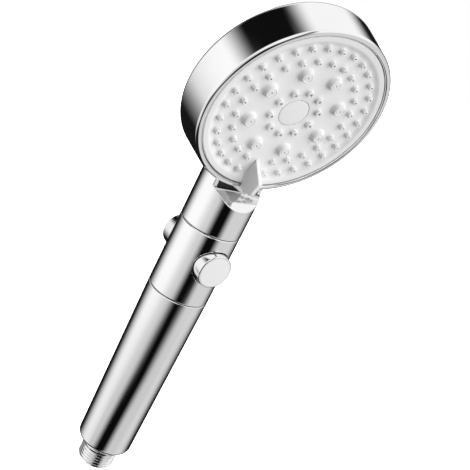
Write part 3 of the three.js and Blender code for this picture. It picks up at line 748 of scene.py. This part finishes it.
def spray_face():
    """The dished disc with its outer band, hub and seat for the cap."""
    skirt = DISC_R - 1.5
    badge = BADGE_R + 0.25
    return turned("spray_face", rounded(
        (CENTRE_SCREW_HOLE_R, HUB_BACK), (HUB_R, HUB_BACK, 0.4), (HUB_R, DISC_BACK),
        (skirt, DISC_BACK), (skirt, SKIRT_BACK), (DISC_R, SKIRT_BACK), (DISC_R, 0.1, 0.8),
        (BAND_R, 0, 3), (DISH_R, DISH, 3.5), (badge, DISH, 0.12), (badge, BADGE_SEAT),
        (CENTRE_SCREW_HEAD_R, BADGE_SEAT), (CENTRE_SCREW_HEAD_R, CENTRE_SCREW_HEAD_BACK),
        (CENTRE_SCREW_HOLE_R, CENTRE_SCREW_HEAD_BACK),
    ), EXTRA_FINE, FACE)


def centre_cap():
    """The round cap in the middle of the disc, a little crowned."""
    crown = domed(BADGE_R, DISH + 0.1, 0.25, 8)
    return turned("centre_cap", rounded(
        (0, BADGE_BACK), (BADGE_R, BADGE_BACK), (BADGE_R, DISH, 0.15), crown[0],
    ) + crown[1:], MEDIUM, FACE)


def small_nozzle(top):
    """A cone on a softly blended foot, with a fine hole."""
    return rounded(
        (0, DISH - 0.3), (2.1, DISH - 0.3), (2.1, DISH + 0.01), (1.6, DISH + 0.02, 0.3),
        (1.45, top, 0.35), (0.52, top, 0.06), (0.46, top - 1.6), (0, top - 1.6),
    )


def mist_nozzle(top):
    """A short stub with a wider mouth."""
    return rounded(
        (0, DISH - 0.3), (2.6, DISH - 0.3), (2.6, DISH + 0.01), (1.9, DISH + 0.03, 0.4),
        (1.75, top, 0.3), (0.8, top, 0.1), (0.7, top - 1.7), (0, top - 1.7),
    )


def nozzle_field():
    """All the small nozzles of the mat as one mesh."""
    points, faces, normals = [], [], []
    rings = (OUTER_RING, small_nozzle), (SECOND_RING, small_nozzle), (MIST_RING, mist_nozzle)
    for ring, nozzle in rings:
        shape = revolved(nozzle(ring["top"]), SMALL)
        for angle in ring_angles(ring):
            place = on_face(ring["radius"], angle)
            first = len(points)
            points.extend(shape[0] @ place[:3, :3].T + place[:3, 3])
            faces.extend([first + v for v in face] for face in shape[1])
            normals.extend(shape[2] @ place[:3, :3].T)
    return mesh_of("nozzle_mat", points, faces, normals)


def massage_nozzle(index, angle):
    """A large nozzle: a cone with a shallow ring round the hole in its face."""
    top = MASSAGE_RING["top"]
    profile = rounded(
        (0, DISH - 0.4), (4.6, DISH - 0.4), (4.6, DISH + 0.01), (3.7, DISH + 0.03, 1.3),
        (3.0, top, 0.45), (2.35, top, 0.08), (2.3, top - 0.22, 0.08), (2.0, top - 0.2, 0.1),
        (1.9, top - 0.02, 0.1), (0.48, top - 0.02, 0.1), (0.4, top - 1.6), (0, top - 1.6),
    )
    place = on_face(MASSAGE_RING["radius"], angle)
    return turned(f"massage_nozzle_{index}", profile, NOZZLE, place)


def lever_distance(x, v, h):
    """The lever in face coordinates: v up the face, h out of it."""
    def half_plane(start, end):
        """Positive to the left of the walk from start to end, in (v, h)."""
        along = np.array(end, float) - start
        along /= np.linalg.norm(along)
        return (v - start[0]) * along[1] - (h - start[1]) * along[0]

    side = half_plane(*FIN_OUTLINE[:2])
    for start, end in zip(FIN_OUTLINE[1:], FIN_OUTLINE[2:]):
        side = smooth_max(side, half_plane(start, end), 0.9)
    swell = np.clip(1 - ((v - FIN_SWELL_V) / FIN_SWELL_LENGTH) ** 2, 0, 1)
    width = FIN_HALF + FIN_SWELL * swell * np.exp(-np.maximum(h - DISH, 0) / FIN_SWELL_HEIGHT)
    width -= UNDERCUT * np.clip((DISH + UNDERCUT - h) / UNDERCUT, 0, 1)
    fin = smooth_max(side, (np.abs(x) - width) * 0.85, 0.5)
    fin = np.maximum(fin, PLATE_V - v)
    narrowing = np.clip((h - RIM_TOP) / PLATE_HEIGHT, 0, 1)
    edge = FIN_HALF + PLATE_SPREAD * (1 - narrowing) ** 1.15 - 2 * np.maximum(h - PLATE_TOP, 0)
    plate = smooth_max(np.abs(v - PLATE_V) - PLATE_HALF, (np.abs(x) - edge) * 0.7, 0.3)
    lever = smooth_min(fin, plate, 0.3)
    rim_centre = RIM_R - RIM_ROUND
    out = np.maximum(np.hypot(x, v) - rim_centre, 0)
    rim = RIM_ROUND + GAP - np.hypot(out, h - (RIM_TOP - RIM_ROUND))
    clear_of_rim = np.minimum(rim, -(LIP_R - 0.6) - v)
    return np.maximum(np.maximum(lever, clear_of_rim), LEVER_FOOT - h)


def selector_lever():
    """The lever's mesh, placed on the face."""
    axes = (
        spaced(-7, 7, LEVER_STEP), spaced(PLATE_V - 1.2, 2 - LEVER_INNER_R, LEVER_STEP),
        spaced(LEVER_FOOT - 0.5, 12, LEVER_STEP),
    )
    return net_mesh("selector_lever", lever_distance, axes, FACE)


# ---------------------------------------------------------------- assembly

def add_handle():
    """The pieces that stay with the handle."""
    placed("grip_sleeve_skin", grip_sleeve(), "handle", "chrome", CHROME, "grip_sleeve")
    placed("inlet_fitting_skin", inlet_fitting(), "handle", "chrome", CHROME, "inlet_fitting")
    placed("valve_sleeve_skin", valve_sleeve(), "handle", "chrome", CHROME, "valve_sleeve")
    shell = joined("head_shell", drum(), neck())
    placed("head_shell_skin", shell, "handle", "chrome", CHROME, "head_shell")
    # A near-black sheet in the pocket under the drum that stands for no part: painted shade where the
    # slit is only in shadow.
    placed("pocket_shade_sheet_skin", pocket_shade_sheet(), "handle", "rubber", RUBBER_AND_SHADE_BLACK)


def add_buttons():
    """The two caps of the stop valve and their inlays."""
    for side in ("front", "rear"):
        placed(f"button_{side}_skin", button(side), "stop_valve", "chrome", CHROME, f"button_{side}")
        inlay = f"button_inlay_{side}"
        placed(f"{inlay}_skin", button_inlay(side), "stop_valve", "satin_plastic", INLAY, inlay)


def add_spray_disc():
    """The pieces that turn with the selector."""
    body = "spray_disc"
    placed("spray_face_skin", spray_face(), body, "satin_plastic", SATIN, "spray_face")
    placed("centre_cap_skin", centre_cap(), body, "satin_plastic", SATIN, "centre_cap")
    placed("selector_lever_skin", selector_lever(), body, "satin_plastic", SATIN, "selector_lever")
    placed("nozzle_mat_skin", nozzle_field(), body, "silicone", SILICONE, "nozzle_mat")
    for index, angle in enumerate(ring_angles(MASSAGE_RING), 1):
        node = f"massage_nozzle_{index}"
        placed(f"{node}_skin", massage_nozzle(index, angle), body, "silicone", SILICONE, node)


def finish_inner_nodes():
    """The CAD pieces inside keep their shape and get a finish."""
    steel_words = "screw", "spring", "ball", "washer", "filter"
    for name, node in frame["nodes"].items():
        if node.hide_render:
            continue
        finish = ACETAL
        if "o_ring" in name or name == "port_seal":
            finish = RUBBER_AND_SHADE_BLACK
        elif any(word in name for word in steel_words):
            finish = STEEL
        elif name == "valve_spool":
            finish = BRASS
        node.data.materials.clear()
        node.data.materials.append(finish)


# ---------------------------------------------------------------- studio

# What the chrome sees round the object is a bright tent with soft-edged cards standing in it. Each
# card is the azimuth of its middle, its half width and its soft edge in degrees, and the share of
# light that it leaves. Towards the floor and level with the object, these are a dark card just
# right of the camera, the dark room behind the object, and a broad grey card round the camera.
# Above it they are a narrow dark card over the camera and a dark one behind the object.
FLOOR_WALL = 0.85
FLOOR_CARDS = ((-117, 10, 30, 0.005), (52, 40, 58, 0.01), (-110, 50, 45, 0.7))
SIDE_WALL = 1.0
SIDE_CARDS = ((-105, 10, 30, 0.005), (56, 32, 58, 0.01), (-90, 55, 45, 0.65))
HIGH_WALL = 0.95
HIGH_CARDS = ((-95, 0, 17, 0.05), (127, 15, 45, 0.005))
FLOOR_TO_SIDE = (-34.0, -22.0)
SIDE_TO_HIGH = (10.0, 34.0)
HIGH_TO_TOP = (62.0, 80.0)
TOP_LEVEL = 0.9
BASE_TO_FLOOR = (-68.0, -57.0)
BASE_LEVEL = 0.01

# Below LEAN_START, the cards on the -X side stand at a slant: LEAN degrees of azimuth for each
# degree of height, down to LEAN_LIMIT degrees further.
LEAN_START = -31.0
LEAN_LIMIT = -7.0
LEAN = -2.4
LEAN_EAST_END = (-60.0, -20.0)

# Light on matt surfaces: an even level, a slope towards one side, and a pale backdrop behind the
# spray face, which starts at BACKDROP_EDGE.
FILL = 0.25
FILL_SLOPE = 2.15
FILL_SIDE = FACE[:3, :3] @ (0.585, 0.684, 0.42)
BACKDROP = 1.35
BACKDROP_EDGE = (-0.15, 0.10)


def studio_tent(graph, direction):
    """The tent and its cards by direction, blended from the floor up."""
    parts = graph.node("ShaderNodeSeparateXYZ", {0: direction}).outputs
    azimuth = graph.math("MULTIPLY", graph.math("ARCTAN2", parts[1], parts[0]), 180 / math.pi)
    elevation = graph.math("MULTIPLY", graph.math("ARCSINE", parts[2]), 180 / math.pi)
    below = graph.math("MINIMUM", graph.math("SUBTRACT", elevation, LEAN_START), 0.0)
    west = graph.remap(azimuth, 1.0, 0.0, *LEAN_EAST_END)
    amount = graph.math("MULTIPLY", graph.math("MAXIMUM", below, LEAN_LIMIT), west)
    leaning = graph.math("MULTIPLY_ADD", amount, LEAN, azimuth)

    def tent(angle, wall, cards):
        level = wall
        for middle, half, edge, left in cards:
            offset = graph.math("WRAP", graph.math("SUBTRACT", angle, middle), 180.0, -180.0)
            limits = {1: half, 2: half + edge, 3: left, 4: 1.0}
            seen = graph.node(
                "ShaderNodeMapRange", {0: graph.math("ABSOLUTE", offset), **limits},
                interpolation_type="SMOOTHSTEP",
            )
            level = graph.math("MULTIPLY", level, seen.outputs[0])
        return level

    def rising(lower, upper, limits):
        share = graph.node(
            "ShaderNodeMapRange", {0: elevation, 1: limits[0], 2: limits[1]},
            interpolation_type="SMOOTHSTEP",
        )
        return graph.mix(share.outputs[0], lower, upper)

    low_tent = tent(leaning, FLOOR_WALL, FLOOR_CARDS)
    side_tent = tent(leaning, SIDE_WALL, SIDE_CARDS)
    high_tent = tent(azimuth, HIGH_WALL, HIGH_CARDS)
    around = rising(low_tent, side_tent, FLOOR_TO_SIDE)
    around = rising(around, high_tent, SIDE_TO_HIGH)
    around = rising(around, (TOP_LEVEL,) * 3 + (1,), HIGH_TO_TOP)
    return rising((BASE_LEVEL,) * 3 + (1,), around, BASE_TO_FLOOR)


def studio_fill(graph, direction):
    """The broad light that the matt surfaces gather."""
    def along(axis):
        inputs = {0: direction, 1: tuple(float(part) for part in axis)}
        return graph.node("ShaderNodeVectorMath", inputs, operation="DOT_PRODUCT").outputs["Value"]

    front = graph.math("MAXIMUM", graph.math("MULTIPLY_ADD", along(FILL_SIDE), FILL_SLOPE, FILL), 0.0)
    forward = graph.remap(along(FACE_OUT), 0.0, 1.0, *BACKDROP_EDGE)
    return graph.mix(forward, (BACKDROP,) * 3 + (1,), front)


def studio_world():
    """White behind the object, the tent in its reflections and a broad fill on matt surfaces."""
    world = bpy.data.worlds.new("studio")
    bpy.context.scene.world = world
    world.use_nodes = True
    graph = Graph(world.node_tree)
    direction = graph.node("ShaderNodeTexCoord").outputs["Generated"]
    rays = graph.node("ShaderNodeLightPath").outputs
    tent, fill = studio_tent(graph, direction), studio_fill(graph, direction)
    lit = graph.mix(rays["Is Diffuse Ray"], tent, fill)
    seen = graph.mix(rays["Is Camera Ray"], lit, (1, 1, 1, 1))
    light = graph.node("ShaderNodeBackground", {"Color": seen, "Strength": 1.0})
    output = graph.node("ShaderNodeOutputWorld")
    graph.set(output.inputs["Surface"], light.outputs[0])
    world.cycles.sampling_method = "NONE"


def studio_floor():
    """A pale floor well below the object."""
    drop, size = 1.0, 6.0
    mesh = bpy.data.meshes.new("floor")
    corners = [(-size, -size, -drop), (size, -size, -drop), (size, size, -drop), (-size, size, -drop)]
    mesh.from_pydata(corners, [], [(0, 1, 2, 3)])
    floor = bpy.data.objects.new("floor", mesh)
    pale = bpy.data.materials.new("floor")
    pale.use_nodes = True
    graph = Graph(pale.node_tree)
    surface = graph.node("ShaderNodeBsdfPrincipled", {
        "Base Color": (0.9, 0.9, 0.9, 1), "Roughness": 0.9,
        "Emission Color": (1, 1, 1, 1), "Emission Strength": 0.8,
    })
    output = graph.node("ShaderNodeOutputMaterial")
    graph.set(output.inputs["Surface"], surface.outputs["BSDF"])
    mesh.materials.append(pale)
    floor.visible_glossy = False
    floor.visible_diffuse = False
    bpy.context.scene.collection.objects.link(floor)


# Camera: its place, then its turn about Z, its height angle and its roll in degrees.
CAMERA_PLACE = (-356.2, -416.6, 369.0)
CAMERA_TURNS = (-41.99, 20.68, 27.03)
CAMERA_LENS = 84.95
SENSOR_WIDTH = 36


def studio_camera():
    """The camera, at the photograph's viewing angle."""
    azimuth, elevation, roll = (math.radians(turn) for turn in CAMERA_TURNS)
    camera = bpy.data.cameras.new("camera")
    camera.sensor_width = SENSOR_WIDTH
    camera.lens = CAMERA_LENS
    camera.clip_end = 50
    holder = bpy.data.objects.new("camera", camera)
    turn = Matrix.Rotation(azimuth, 4, "Z") @ Matrix.Rotation(math.pi / 2 - elevation, 4, "X")
    place = Matrix.Translation(Vector(CAMERA_PLACE) * MM)
    holder.matrix_world = place @ turn @ Matrix.Rotation(roll, 4, "Z")
    bpy.context.scene.collection.objects.link(holder)
    bpy.context.scene.camera = holder


add_handle()
add_buttons()
add_spray_disc()
finish_inner_nodes()
studio_world()
studio_floor()
studio_camera()
bpy.context.scene.view_settings.view_transform = "Standard"
